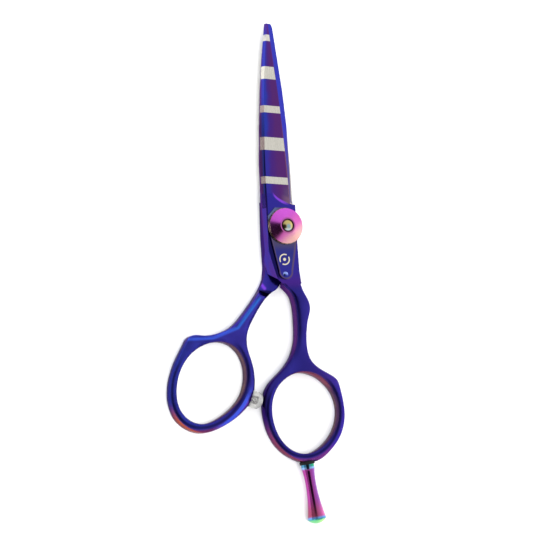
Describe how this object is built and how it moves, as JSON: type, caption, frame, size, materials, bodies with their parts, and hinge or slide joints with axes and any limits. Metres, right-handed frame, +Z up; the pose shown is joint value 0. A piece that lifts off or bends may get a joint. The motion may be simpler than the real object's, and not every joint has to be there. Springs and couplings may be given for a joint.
{
  "type": "thinning shears",
  "caption": "Hairdressing thinning shears: a plain banded blade over a comb blade, offset finger rings, tension dial, bumper and finger rest.",
  "frame": {"origin": "on the pivot axis, in the plane of the flat face that the shears rest on", "axes": "+Y from the pivot to the blade tips, +Z up from the rest face through the tension dial, +X towards the side of the finger ring"},
  "size_m": [0.0582, 0.159, 0.0087],
  "materials": {
    "coated_steel": "polished blue and violet titanium coating with bare silver bands",
    "bare_steel": "bare polished steel",
    "rivet_steel": "polished blue titanium coating",
    "click_steel": "straw-coloured titanium coating",
    "dial_coating": "satin pink titanium coating",
    "cap_coating": "polished gold-green titanium coating",
    "rest_coating": "polished pink and violet titanium coating with teal ends",
    "bronze": "sintered bronze",
    "nylon": "natural nylon",
    "black_rubber": "matte black rubber",
    "clear_rubber": "clear soft plastic"
  },
  "bodies": {
    "finger_half": {"finger_blade_half": "coated_steel", "pivot_bolt": "bare_steel", "leaf_spring_plate": "coated_steel", "plate_rivet": "rivet_steel", "click_ring": "click_steel", "dial_cap_screw": "cap_coating", "finger_rest": "rest_coating", "finger_rest_washer": "black_rubber"},
    "thumb_half": {"thumb_blade_half": "coated_steel", "pivot_bush": "bronze", "head_washer": "nylon", "bearing_washer": "nylon", "bumper": "clear_rubber", "bumper_stud": "bare_steel"},
    "tension_dial": {"tension_knob": "dial_coating"}
  },
  "joints": [
    {"name": "blade_pivot", "type": "hinge", "parent": "finger_half", "child": "thumb_half", "pos_m": [0, 0, 0.0028], "axis": [0, 0, -1], "range_deg": [0, 90]},
    {"name": "dial_turn", "type": "hinge", "parent": "finger_half", "child": "tension_dial", "pos_m": [0, 0, 0.007], "axis": [0, 0, 1], "range_deg": [0, 180]}
  ]
}
